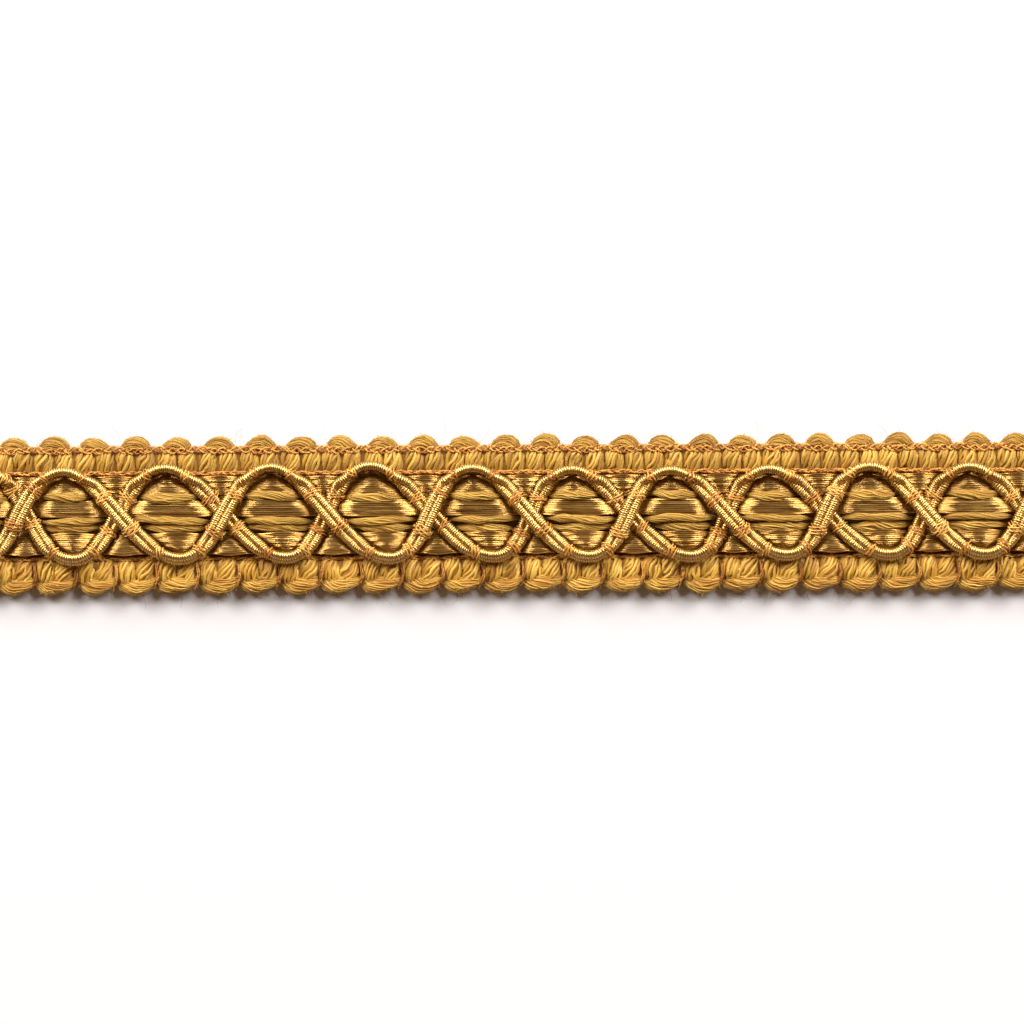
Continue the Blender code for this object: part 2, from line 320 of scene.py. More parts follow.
def yarn_tree():
    plan, given = open_tree("laid_yarn", YARN_INPUTS)
    curve = plan.node("GeometryNodeMeshToCurve", {}, {"Mesh": given["Path"]})
    resampled = {"Curve": curve, "Length": given["Step"]}
    middle = plan.node("GeometryNodeResampleCurve", {"mode": "LENGTH"}, resampled)
    copies = {"Geometry": middle, "Amount": given["Plies"]}
    curve = plan.node("GeometryNodeDuplicateElements", {"domain": "SPLINE"}, copies)
    number = curve.output("Duplicate Index")

    run, strand, girth = plan.attribute("run"), plan.attribute("strand"), plan.attribute("girth")
    place = plan.combined(
        run / given["Waver Length"], number * NOISE_PER_PLY + given["Seed"], strand * NOISE_PER_STRAND
    )
    noise = plan.node("ShaderNodeTexNoise", {}, {"Vector": place, "Scale": 1.0, "Detail": 1.0})
    red, green, blue = (
        plan.node("ShaderNodeSeparateXYZ", {}, {"Vector": noise.output("Color")}, axis) for axis in range(3)
    )
    turns = run / given["Lay Length"] + number / given["Plies"] + strand * TURN_PER_STRAND
    phase = turns * (2 * np.pi) + (red - 0.5) * given["Waver"]
    reach = given["Lay Radius"] * girth * (1.0 + (green - 0.5) * given["Unevenness"])
    sideways = reach * phase.maths("COSINE", phase)
    upwards = reach * given["Lay Flatness"] * phase.maths("SINE", phase)
    shift = plan.summed(
        plan.scaled(plan.attribute("side", "FLOAT_VECTOR"), sideways),
        plan.scaled(plan.attribute("lift", "FLOAT_VECTOR"), upwards),
    )
    curve = plan.node("GeometryNodeSetPosition", {}, {"Geometry": curve, "Offset": shift})
    ply_number = {"ID": number + strand * PLY_NUMBERS_PER_STRAND}
    ply = plan.node("FunctionNodeRandomValue", {"data_type": "FLOAT"}, ply_number, 1)
    curve = plan.marked(curve, "ply", ply)

    section = marked_circle(plan, given["Sides"])
    radius = given["Ply Radius"] * girth * (1.0 + (blue - 0.5) * given["Unevenness"])
    curve = plan.node("GeometryNodeSetCurveRadius", {}, {"Curve": curve, "Radius": 1.0})
    swept = {"Curve": curve, "Profile Curve": section, "Scale": radius, "Fill Caps": True}
    plies = plan.node("GeometryNodeCurveToMesh", {}, swept)

    middle = plan.node("GeometryNodeSetCurveRadius", {}, {"Curve": middle, "Radius": 1.0})
    flat = plan.combined(1.0, given["Lay Flatness"], 1.0)
    section = marked_circle(plan, CORE_SIDES)
    section = plan.node("GeometryNodeTransform", {}, {"Geometry": section, "Scale": flat})
    middle = plan.node("GeometryNodeSetCurveNormal", {"mode": "Z_UP"}, {"Curve": middle})
    radius = given["Core Radius"] * girth
    swept = {"Curve": middle, "Profile Curve": section, "Scale": radius, "Fill Caps": True}
    core = plan.node("GeometryNodeCurveToMesh", {}, swept)
    has_core = given["Core Radius"] > 0.0
    core = plan.node("GeometryNodeSwitch", {"input_type": "GEOMETRY"}, {"Switch": has_core, "True": core})
    joined = plan.node("GeometryNodeJoinGeometry")
    for part in (plies, core):
        plan.tree.links.new(part.socket, joined.socket.node.inputs[0])
    close_tree(plan, joined, given["Finish"])
    return plan.tree


YARN = yarn_tree()
print("nodes in the tree:", len(YARN.nodes))

# %% [markdown]
# A path is a chain of points with no faces. It is kept as a mesh of edges, whose points carry the
# directions, the girth and the distance run that the tree reads. `spin` lays a yarn along a list of
# paths and takes the result out of the modifier as a plain mesh.

# %% Paths, and spinning a yarn along them
ROUNDED_SPANS = 4


def unit(vectors):
    return vectors / np.linalg.norm(vectors, axis=-1, keepdims=True)


def path(points, roll=0.0, girth=1.0, run=0.0):
    """A chain of points in millimetres, with the sideways and upward directions at each."""
    points = np.asarray(points, float)
    forward = unit(np.gradient(points, axis=0))
    side = unit(np.cross(UP, forward))
    lift = np.cross(forward, side)
    turn = np.broadcast_to(roll, len(points))[:, None]
    steps = np.linalg.norm(np.diff(points, axis=0), axis=1)
    return {
        "points": points * MM,
        "side": side * np.cos(turn) + lift * np.sin(turn),
        "lift": lift * np.cos(turn) - side * np.sin(turn),
        "girth": np.broadcast_to(girth, len(points)).astype(float),
        "run": (run + np.concatenate(([0.0], np.cumsum(steps)))) * MM,
    }


def rounded(points):
    """A smooth curve that passes through a few points, which may have any number of columns."""
    points = np.asarray(points, float)
    padded = np.vstack((2 * points[0] - points[1], points, 2 * points[-1] - points[-2]))
    share = (np.arange(ROUNDED_SPANS) / ROUNDED_SPANS)[:, None]
    curve = []
    for a, b, c, d in zip(padded, padded[1:], padded[2:], padded[3:]):
        curve.append(
            0.5 * (2 * b + (c - a) * share + (2 * a - 5 * b + 4 * c - d) * share**2
                   + (3 * b - a - 3 * c + d) * share**3)
        )
    return np.vstack(curve + [points[-1:]])


def seedling(name, paths):
    """A mesh of edges only, with each path's values on its points."""
    starts = np.cumsum([0] + [len(one["points"]) for one in paths])
    edges = np.concatenate([
        np.stack((np.arange(first, last - 1), np.arange(first + 1, last)), axis=1)
        for first, last in zip(starts, starts[1:])
    ])
    mesh = bpy.data.meshes.new(name)
    mesh.vertices.add(starts[-1])
    mesh.vertices.foreach_set("co", np.concatenate([one["points"] for one in paths]).ravel())
    mesh.edges.add(len(edges))
    mesh.edges.foreach_set("vertices", edges.ravel())
    for label in ("side", "lift"):
        values = np.concatenate([one[label] for one in paths]).ravel()
        mesh.attributes.new(label, "FLOAT_VECTOR", "POINT").data.foreach_set("vector", values)
    columns = {
        "girth": [one["girth"] for one in paths],
        "run": [one["run"] for one in paths],
        "strand": [np.full(len(one["points"]), float(number)) for number, one in enumerate(paths)],
    }
    for label, values in columns.items():
        mesh.attributes.new(label, "FLOAT", "POINT").data.foreach_set("value", np.concatenate(values))
    return add_object(name, mesh)


def grow(name, grower, tree, sizes):
    """Runs a tree on an object and returns what it makes as a plain mesh object."""
    modifier = grower.modifiers.new(tree.name, "NODES")
    modifier.node_group = tree
    for item in tree.interface.items_tree:
        if item.in_out == "INPUT" and item.name in sizes:
            modifier[item.identifier] = sizes[item.name]
    graph = bpy.context.evaluated_depsgraph_get()
    mesh = bpy.data.meshes.new_from_object(
        grower.evaluated_get(graph), preserve_all_data_layers=True, depsgraph=graph
    )
    mesh.name = name
    grower.modifiers.remove(modifier)
    mesh.calc_loop_triangles()
    print(name, "has", len(mesh.loop_triangles), "triangles")
    return add_object(name, mesh)


def spin(name, paths, finish, plies=1, ply=0.1, lay=0.0, flatness=1.0, length=1.0, step=0.2,
         sides=5, core=0.0, waver=0.0, waver_length=1.1, unevenness=0.0, seed=0.0):
    """Lays a yarn of some plies along paths. Sizes are in millimetres."""
    grower = seedling(name, paths)
    sizes = {
        "Plies": plies, "Ply Radius": ply * MM, "Lay Radius": lay * MM, "Lay Flatness": flatness,
        "Lay Length": length * MM, "Step": step * MM, "Sides": sides, "Core Radius": core * MM,
        "Waver": waver, "Waver Length": waver_length * MM, "Unevenness": unevenness, "Seed": seed,
        "Finish": finish,
    }
    piece = grow(name + "_yarn", grower, YARN, sizes)
    bpy.data.objects.remove(grower, do_unlink=True)
    piece.name = name
    for label in ("side", "lift", "girth"):
        piece.data.attributes.remove(piece.data.attributes[label])
    return piece


print("ready to spin")

# %% [markdown]
# ## Finishes
# Thread looks like thread because of its fibres. Every yarn here carries the distance along it, the
# angle around it and a number for each ply. A noise that is stretched along the fibre and fine across
# it gives streaks, which tint the colour and lift the surface a little. Slow patches over the whole
# braid keep two places of one yarn from being alike. Satin and gimp are as bright as metal, because
# each of their fibres is a tiny mirror, and a thin coat adds the sharper shine of the thread's skin.

# %% A finish made of fibres
FIBRE_SHARE, PLY_SHARE, PATCH_SHARE = 0.50, 0.30, 0.20
PLY_NOISE_STEP = 61.0
PATCHES_PER_METRE = 260.0
RAMP_START, RAMP_WIDTH = 0.36, 0.28
ROUGHNESS_SWING = 0.25
FIBRE_RELIEF = 0.0001
SHEEN_ROUGHNESS = 0.5
SHEEN_TINT = (0.80, 0.62, 0.30, 1.0)
COAT_IOR = 1.6


def fibre_finish(name, colours, roughness, fibres, streak, bump, metallic=0.0, sheen=0.0, coat=0.0):
    """A thread's material. colours go from its shaded fibres to its lit ones."""
    material = bpy.data.materials.new(name)
    material.use_nodes = True
    plan = Plan(material.node_tree)
    around, run, ply = (
        plan.node("ShaderNodeAttribute", {"attribute_name": label}).output("Fac")
        for label in ("around", "run", "ply")
    )
    place = plan.combined(around * fibres, run * streak, ply * PLY_NOISE_STEP)
    noise = plan.node("ShaderNodeTexNoise", {}, {"Vector": place, "Scale": 1.0, "Detail": 3.0})
    place = plan.node("ShaderNodeTexCoord").output("Object")
    patches = {"Vector": place, "Scale": PATCHES_PER_METRE, "Detail": 2.0}
    patch = plan.node("ShaderNodeTexNoise", {}, patches)
    shade = noise * FIBRE_SHARE + ply * PLY_SHARE + patch * PATCH_SHARE
    last = len(colours) - 1
    stops = [(RAMP_START + RAMP_WIDTH * i / last, colour) for i, colour in enumerate(colours)]
    relief = {"Height": noise, "Strength": bump, "Distance": FIBRE_RELIEF}
    shader = material.node_tree.nodes["Principled BSDF"]
    for label, wire in {
        "Base Color": plan.node("ShaderNodeValToRGB", {"stops": stops}, {"Fac": shade}),
        "Roughness": roughness + (noise - 0.5) * ROUGHNESS_SWING,
        "Normal": plan.node("ShaderNodeBump", {}, relief),
    }.items():
        plan.tree.links.new(wire.socket, shader.inputs[label])
    for label, value in {
        "Metallic": metallic,
        "Sheen Weight": sheen,
        "Sheen Roughness": SHEEN_ROUGHNESS,
        "Sheen Tint": SHEEN_TINT,
        "Coat Weight": coat,
        "Coat Roughness": roughness,
        "Coat IOR": COAT_IOR,
    }.items():
        shader.inputs[label].default_value = value
    return material


print("a finish can be made")

# %% [markdown]
# Seven finishes cover the braid. The ties and the yarn of the lower border are the same materials as
# the bindings and the upper border, with colours painted lighter to make up for the shade that falls
# on them here. The lower border's yarn is also a little glossier.

# %% Mix the finishes
SOFT_YARN = fibre_finish(
    "soft_yarn", [(0.295, 0.145, 0.010), (0.46, 0.257, 0.026), (0.575, 0.375, 0.060)],
    roughness=0.6, fibres=9.0, streak=700.0, bump=0.9, sheen=0.3,
)
SATIN_FLOSS = fibre_finish(
    "satin_floss", [(0.37, 0.19, 0.031), (0.53, 0.315, 0.072), (0.64, 0.44, 0.140)],
    roughness=0.34, metallic=1.0, fibres=3.0, streak=500.0, bump=0.05, coat=0.5,
)
GIMP_WRAP = fibre_finish(
    "gimp_wrap", [(0.41, 0.20, 0.034), (0.57, 0.335, 0.078), (0.69, 0.475, 0.155)],
    roughness=0.37, metallic=1.0, fibres=3.0, streak=2500.0, bump=0.1, coat=0.6,
)
BINDING_THREAD = fibre_finish(
    "binding_thread", [(0.24, 0.068, 0.006), (0.45, 0.172, 0.017), (0.71, 0.38, 0.076)],
    roughness=0.5, fibres=4.0, streak=5200.0, bump=0.9,
)
# The binding thread again, with colours painted lighter to make up for the shade on the ties.
TIE_THREAD_PAINTED_LIGHTER = fibre_finish(
    "tie_thread_painted_lighter", [(0.36, 0.13, 0.013), (0.62, 0.28, 0.038), (0.86, 0.51, 0.12)],
    roughness=0.45, fibres=4.0, streak=5200.0, bump=0.6, coat=0.2,
)
# The soft yarn a little glossier, with colours painted lighter to make up for the shade on the lower
# border.
EDGE_YARN_PAINTED_LIGHTER = fibre_finish(
    "edge_yarn", [(0.35, 0.165, 0.013), (0.55, 0.310, 0.032), (0.68, 0.45, 0.083)],
    roughness=0.55, fibres=9.0, streak=700.0, bump=0.6, sheen=0.15, coat=0.1,
)
GROUND_CLOTH = fibre_finish(
    "ground_cloth", [(0.22, 0.105, 0.016), (0.36, 0.185, 0.030), (0.50, 0.28, 0.055)],
    roughness=0.85, fibres=6.0, streak=900.0, bump=0.8,
)
print("finishes ready")

# %% [markdown]
# ## Where the cords go
# A real cord turns a little differently every time, so its turning points are a given list,
# and a cubic curve joins each turn to the next. The pair of strands rolls towards its edge in a turn,
# because a flat pair can't bend sideways, and it rises there onto the ribs. Where the two cords cross,
# the over cord lifts and the under cord dips.

# %% Routes of the two cords
CORD_MIDDLE = 0.15
OVER_TURNS = [
    # along and across of each peak, and then of the valley after it
    (-61.8, 4.20), (-50.8, -4.20), (-42.6, 4.06), (-31.6, -4.21), (-23.0, 4.38), (-11.8, -4.23),
    (-4.0, 4.22), (7.0, -4.15), (14.7, 3.95), (25.7, -4.09), (33.5, 4.24), (44.4, -4.08),
    (52.4, 4.20), (63.4, -4.10),
]
UNDER_TURNS = [
    # along and across of each valley, and then of the peak after it
    (-61.2, -4.20), (-50.0, 4.20), (-41.7, -4.28), (-33.0, 4.33), (-21.6, -4.14), (-13.6, 4.50),
    (-2.0, -4.12), (5.4, 4.04), (16.6, -4.19), (24.0, 4.02), (35.3, -4.09), (42.9, 4.17),
    (54.1, -4.10), (62.0, 4.20),
]
HANDLE_BEFORE, HANDLE_AFTER = 4.2, {"peak": 3.5, "valley": 3.7}
CORD_REST = 2.05
TURN_RISE = {"peak": 0.42, "valley": 0.50}
RISE_FROM, RISE_WIDTH = 2.0, 2.0
TURN_ROLL = {"peak": np.radians(84), "valley": np.radians(64)}
ROLL_FROM, ROLL_WIDTH = 2.5, 1.2
CROSSING_LIFT = 0.58
CROSSING_DIP = 0.38
CROSSING_FROM, CROSSING_WIDTH = 1.2, 2.0
POINTS_PER_STROKE = 60


def wave(turns):
    """The cord's middle seen from above, through all its turns, cut at the braid's ends."""
    t = (np.arange(POINTS_PER_STROKE) / POINTS_PER_STROKE)[:, None]
    a, b, c, d = (1 - t) ** 3, 3 * t * (1 - t) ** 2, 3 * t * t * (1 - t), t**3
    strokes = []
    for (x0, y0), (x1, y1) in zip(turns, turns[1:]):
        leave, arrive = x0 + HANDLE_AFTER["peak" if y0 > 0 else "valley"], x1 - HANDLE_BEFORE
        strokes.append(np.hstack((a * x0 + b * leave + c * arrive + d * x1, (a + b) * y0 + (c + d) * y1)))
    line = np.vstack(strokes) + (0.0, CORD_MIDDLE)
    return line[np.abs(line[:, 0]) < LENGTH / 2]


def distance(points, line):
    """How far each point is from a line of points, seen from above."""
    return np.array([np.hypot(line[:, 0] - x, line[:, 1] - y).min() for x, y in points])


def risen(line, other, lifted):
    """The line with its height, and its roll at each point."""
    upper, outward = line[:, 1] > 0, np.abs(line[:, 1])
    rise, roll = (np.where(upper, most["peak"], most["valley"]) for most in (TURN_RISE, TURN_ROLL))
    rise = rise * smooth_step((outward - RISE_FROM) / RISE_WIDTH)
    roll = roll * smooth_step((outward - ROLL_FROM) / ROLL_WIDTH)
    crossing = 1.0 - smooth_step((distance(line, other) - CROSSING_FROM) / CROSSING_WIDTH)
    return np.column_stack((line, CORD_REST + rise + lifted * crossing)), roll


over_line, under_line = wave(OVER_TURNS), wave(UNDER_TURNS)
CORDS = {
    "over": risen(over_line, under_line, CROSSING_LIFT),
    "under": risen(under_line, over_line, -CROSSING_DIP),
}
for cord, (line, roll) in CORDS.items():
    print(cord, "cord runs", round(float(np.linalg.norm(np.diff(line, axis=0), axis=1).sum())), "mm")

# %% [markdown]
# ## The ties
# Fine thread is whipped round both cords on each side of every turn and of every crossing. The tie
# pinches the pair of strands, so its place is needed before the strands are laid.

# %% Find the places of the ties
TIE_FROM_TURN = 1.75
TIE_FROM_CROSSING = 1.9
NEAR_ENOUGH = 0.3
WRONG_SIDE = 9.0
END_MARGIN = 0.5
PINCH, PINCH_LENGTH = 0.13, 0.45


def arc(line):
    """The distance run at each point of a line, seen from above."""
    return np.concatenate(([0.0], np.cumsum(np.linalg.norm(np.diff(line[:, :2], axis=0), axis=1))))


def local_lows(values, limit):
    """Where a row of numbers has its lowest points below a limit."""
    middle = values[1:-1]
    return 1 + np.flatnonzero((middle <= values[:-2]) & (middle < values[2:]) & (middle < limit))


def tie_places(line, turns, other):
    """Distances along the cord of its ties."""
    along = arc(line)
    places = []
    for x, y in turns:
        other_side = WRONG_SIDE * (np.sign(y) != np.sign(line[:, 1]))
        for way in (-1, 1):
            away = np.abs(line[:, 0] - (x + way * TIE_FROM_TURN)) + other_side
            if away.min() < NEAR_ENOUGH:
                places.append(along[away.argmin()])
    for crossing in local_lows(distance(line[:, :2], other[:, :2]), NEAR_ENOUGH):
        places += [along[crossing] - TIE_FROM_CROSSING, along[crossing] + TIE_FROM_CROSSING]
    return np.array([p for p in sorted(places) if END_MARGIN < p < along[-1] - END_MARGIN])


TIES = {
    "over": tie_places(CORDS["over"][0], OVER_TURNS, CORDS["under"][0]),
    "under": tie_places(CORDS["under"][0], UNDER_TURNS, CORDS["over"][0]),
}


def pinched(cord):
    """The girth along a cord, a little less at each tie."""
    along = arc(CORDS[cord][0])
    pull = np.exp(-((along[:, None] - TIES[cord][None, :]) / PINCH_LENGTH) ** 2).max(axis=1)
    return 1.0 - PINCH * pull


print("ties:", {cord: len(places) for cord, places in TIES.items()})

# %% [markdown]
# ## Gimp cords
# Gimp is a soft core with thread wound round it, turn beside turn. The wrap could be a bump pattern,
# but real turns of thread catch the light like nothing else, so each strand is wound for real: one
# thread on a path round the strand, about five turns to the millimetre. A plain core closes it from
# inside.

# %% Wind the four strands
STRAND_OFFSET = 0.34
STRAND_RADIUS = 0.38
WRAP_RADIUS = 0.104
WRAP_PITCH = 0.208
SEGMENTS_PER_TURN = 8


def strand_path(cord, offset):
    line, roll = CORDS[cord]
    middle = path(line, roll=roll)
    shifted = line + middle["side"] * (offset * pinched(cord))[:, None]
    return path(shifted, roll=roll, girth=pinched(cord))


gimp = {}
for cord in CORDS:
    for number, offset in ((1, STRAND_OFFSET), (2, -STRAND_OFFSET)):
        name = f"{cord}_cord_strand_{number}"
        gimp[name] = spin(
            name, [strand_path(cord, offset)], GIMP_WRAP, ply=WRAP_RADIUS, lay=STRAND_RADIUS,
            length=WRAP_PITCH, step=WRAP_PITCH / SEGMENTS_PER_TURN, sides=4, waver=0.7,
            waver_length=0.26, unevenness=0.30, seed=number,
        )
cores = [strand_path(cord, offset) for cord in CORDS for offset in (STRAND_OFFSET, -STRAND_OFFSET)]
gimp_cores = spin("gimp_cores", cores, GIMP_WRAP, ply=STRAND_RADIUS, step=0.60, sides=6)

# %% [markdown]
# Each tie is two short coils of the same tree, round the flat pair instead of one strand. A stitch
# slants across what it holds, so the two coils are turned from the cord by a few degrees, one each
# way, and their threads cross.

# %% Whip the ties
TIE_LENGTH = 0.70
TIE_TURNS = 2.4
TIE_SEGMENTS_PER_TURN = 12
TIE_POINTS = 9
TIE_REACH = 0.815
TIE_FLATNESS = 0.58
TIE_SLANT = np.radians(22)


def tie_paths(cord):
    line, roll = CORDS[cord]
    along = arc(line)
    paths = []
    for place, way in [(place, way) for place in TIES[cord] for way in (-1, 1)]:
        length = TIE_LENGTH * chance.uniform(0.75, 1.3)
        stops = place + np.linspace(-length / 2, length / 2, TIE_POINTS)
        points = np.column_stack([np.interp(stops, along, line[:, axis]) for axis in range(3)])
        slant = way * TIE_SLANT * chance.uniform(0.4, 1.2)
        centre = points[TIE_POINTS // 2, :2]
        turn = np.array(((np.cos(slant), np.sin(slant)), (-np.sin(slant), np.cos(slant))))
        points[:, :2] = centre + (points[:, :2] - centre) @ turn
        paths.append(path(points, roll=np.interp(stops, along, roll), girth=chance.uniform(0.98, 1.06)))
    return paths


# The ties take the binding thread with colours painted lighter, against the shade that falls on them.
ties = spin(
    "cord_ties", tie_paths("over") + tie_paths("under"), TIE_THREAD_PAINTED_LIGHTER, ply=0.066, lay=TIE_REACH,
    flatness=TIE_FLATNESS, length=TIE_LENGTH / TIE_TURNS,
    step=TIE_LENGTH / TIE_TURNS / TIE_SEGMENTS_PER_TURN, sides=3, waver=2.4, waver_length=0.2,
    unevenness=0.22,
)

# %% [markdown]
# ## Satin floss
# The floss lies in three bands along the middle. A cord presses it down wherever it passes, and
# between the cords it swells into a float. Each filament is its own thin thread. It climbs steeply out
# from under the cord, then at the even slope that shines in this light, and then it runs level and
# looks dark. The lengths of those parts come from where the cords lie, so no float is drawn by hand.

# %% Lay the floss
TIED_HEIGHT = 0.95
FLOSS = [
    {"name": "satin_upper", "middle": 2.80, "half": 1.04},
    {"name": "satin_middle", "middle": 0.68, "half": 0.78},
    {"name": "satin_lower", "middle": -2.64, "half": 1.12},
]
CORD_PRESS = 0.42
STEEP_RUN = {"ring": 0.62, "notch": 0.60}
SHINING_RUN = {"ring": 1.28, "notch": 0.90}
STEEP_SLOPE = 1.60
SHINING_SLOPE = 0.40
STEEPEST = 2.2
STEEP_SHARE = 0.12
SHINING_SHARE = {"ring": 0.31, "notch": 0.23}
FLOSS_GRID = 0.16
FLOSS_STEP = 0.40
LOCK_WIDTH = 0.185
FILAMENTS_PER_LOCK = 4
LOCK_RAGGEDNESS = 0.30
LOCK_POINT = 0.35
LOCK_ROUND = 0.085
BAND_TIED, BAND_SPREAD, BAND_CROWN = 0.86, 0.14, 0.15
FILAMENT_STRAY = 0.02
ALL_LINES = np.vstack((over_line[::3], under_line[::3]))
GRID_ALONG = np.arange(-LENGTH / 2, LENGTH / 2 + 0.01, FLOSS_GRID)


def clear_of_cords(across):
    """For each point of a thread: how far the nearest cord is along it, how long its float is, and how
    far the nearest cord is in any direction."""
    free = distance(np.column_stack((GRID_ALONG, across)), ALL_LINES) - CORD_PRESS
    change = np.flatnonzero(np.sign(free[:-1]) != np.sign(free[1:]))
    edges = GRID_ALONG[change] + FLOSS_GRID * free[change] / (free[change] - free[change + 1])
    edges = np.concatenate(([-LENGTH], edges, [LENGTH]))
    later = np.searchsorted(edges, GRID_ALONG)
    before, after = GRID_ALONG - edges[later - 1], edges[later] - GRID_ALONG
    return np.where(free > 0, np.minimum(before, after), 0.0), before + after, np.maximum(free, 0.0)


def climb(across, ragged=0.0):
    """How high a filament stands above its ties. ragged makes its shining part longer or shorter."""
    gap, span, free = clear_of_cords(across)
    over, under = (np.interp(GRID_ALONG, line[:, 0], line[:, 1]) for line in (over_line, under_line))
    in_ring = (across > np.minimum(over, under)) & (across < np.maximum(over, under))
    steep_run, shining_run, shining_share = (
        np.where(in_ring, sizes["ring"], sizes["notch"])
        for sizes in (STEEP_RUN, SHINING_RUN, SHINING_SHARE)
    )
    steep = np.minimum(steep_run, STEEP_SHARE * span)
    shining = np.minimum(shining_run, shining_share * span) * (1 + ragged)
    height = STEEP_SLOPE * np.minimum(gap, steep) + SHINING_SLOPE * np.clip(gap - steep, 0.0, shining)
    return np.minimum(height, STEEPEST * free)


FULL_AFTER = 1.7


def fullness(across, full_after=FULL_AFTER):
    """0 where a cord presses on a thread and 1 well away from it."""
    return smooth_step(clear_of_cords(across)[0] / full_after)


def slow_noise(count, step):
    """A wandering line from -1 to 1, with a new direction every few points."""
    knots = chance.uniform(-1, 1, count // step + 3)
    return np.interp(np.arange(count) / step, np.arange(len(knots)), knots)


def floss_paths(band):
    """Filaments in locks. A lock is a small round ridge that starts to fall in a point."""
    count = len(GRID_ALONG)
    spread = BAND_TIED + BAND_SPREAD * fullness(np.full(count, band["middle"]))
    locks = round(2 * band["half"] / LOCK_WIDTH)
    paths = []
    for lock in range(locks):
        ragged = LOCK_RAGGEDNESS * slow_noise(count, 20)
        for filament in range(FILAMENTS_PER_LOCK):
            v = 2 * (filament + 0.5) / FILAMENTS_PER_LOCK - 1
            u = 2 * (lock + 0.5 + v / 2) / locks - 1
            stray = FILAMENT_STRAY * slow_noise(count, 16)
            across = band["middle"] + u * band["half"] * spread + stray
            height = TIED_HEIGHT + climb(across, ragged + LOCK_POINT * (0.5 - abs(v)))
            height -= LOCK_ROUND * v * v + BAND_CROWN * u * u
            paths.append(path(np.column_stack((GRID_ALONG, across, height))))
    return paths


floss = {
    band["name"]: spin(band["name"], floss_paths(band), SATIN_FLOSS, ply=0.034, step=FLOSS_STEP, sides=3)
    for band in FLOSS
}

# %% [markdown]
# Under the filaments lies the rest of the floss. It is one closed band just below them, so that
# nothing shows through between two filaments.

# %% Close the floss from below
BED_ROWS = np.linspace(-0.92, 0.92, 9)
BED_NARROWING = 0.9
BED_DEPTH = 0.12
BED_FOOT = 0.8


def loft(name, rings, finish):
    """A closed mesh through rings with the same number of points, in millimetres."""
    rings = np.asarray(rings) * MM
    count, size = rings.shape[:2]
    quads = [
        (i * size + j, i * size + (j + 1) % size, (i + 1) * size + (j + 1) % size, (i + 1) * size + j)
        for i in range(count - 1) for j in range(size)
    ]
    caps = [tuple(range(size))[::-1], tuple((count - 1) * size + j for j in range(size))]
    mesh = bpy.data.meshes.new(name)
    mesh.from_pydata(rings.reshape(-1, 3), [], quads + caps)
    mesh.materials.append(finish)
    mesh.shade_smooth()
    return add_object(name, mesh)


def floss_bed(band):
    rows = []
    for u in BED_ROWS:
        across = np.full_like(GRID_ALONG, band["middle"] + u * band["half"] * BED_NARROWING)
        height = TIED_HEIGHT + climb(across, -LOCK_RAGGEDNESS) - BED_DEPTH - BAND_CROWN * u * u
        rows.append(np.column_stack((GRID_ALONG, across, height))[::2])
    foot = [row.copy() for row in (rows[-1], rows[0])]
    for row in foot:
        row[:, 2] = BED_FOOT
    rings = np.stack(rows + foot, axis=1)[:, ::-1]
    return loft(band["name"] + "_bed", rings, SATIN_FLOSS)


floss_beds = [floss_bed(band) for band in FLOSS]
print("floss beds:", len(floss_beds))

# %% [markdown]
# ## Soft yarn along the middle
# Matt yarns run beside the floss and show as dull strips between the bands. They rise fast from under
# a cord but fill out slowly, so each looks like a spindle in its ring.

# %% Lay the soft strands
SOFT_ALONG = {
    # middle, height when tied, swell, girth
    "soft_upper": [(1.74, 0.85, 1.50, 1.06)],
    "soft_lower": [(-0.42, 0.85, 1.46, 0.86), (-1.14, 0.82, 1.10, 1.15)],
}
SOFT_FULL_AFTER = 2.7
SOFT_THIN, SOFT_FILL, SOFT_UNEVEN = 0.36, 0.72, 0.20
SOFT_SWAY, SOFT_WANDER, SOFT_BUMP = 0.12, 0.14, 0.08


def soft_paths(rows):
    count = len(GRID_ALONG)
    paths = []
    for middle, tied, swell, girth in rows:
        across = middle + SOFT_SWAY * slow_noise(count, 8) + SOFT_WANDER * slow_noise(count, 30)
        height = tied + swell * fullness(across) + SOFT_BUMP * slow_noise(count, 6)
        full = fullness(across, SOFT_FULL_AFTER)
        thick = SOFT_THIN + SOFT_FILL * full + SOFT_UNEVEN * slow_noise(count, 5)
        paths.append(path(np.column_stack((GRID_ALONG, across, height)), girth=girth * thick))
    return paths


soft_along = {
    name: spin(name, soft_paths(rows), SOFT_YARN, plies=14, ply=0.070, lay=0.36, flatness=0.75,
               length=11.0, step=0.40, sides=3, core=0.35, waver=2.6, waver_length=2.4, unevenness=0.4)
    for name, rows in SOFT_ALONG.items()
}

# %% [markdown]
# ## Borders
# One soft yarn makes the whole border. It lies across the ground as a rib, turns back along the edge,
# and lies across it again as the next rib. Where it turns it is slack, so it bulges into a small leaf
# whose fibres run along the edge. Each loop is therefore two ribs and one leaf. The lower leaves are
# skewed, because the twist of the yarn pulls them over. Every point of a loop strays a little.

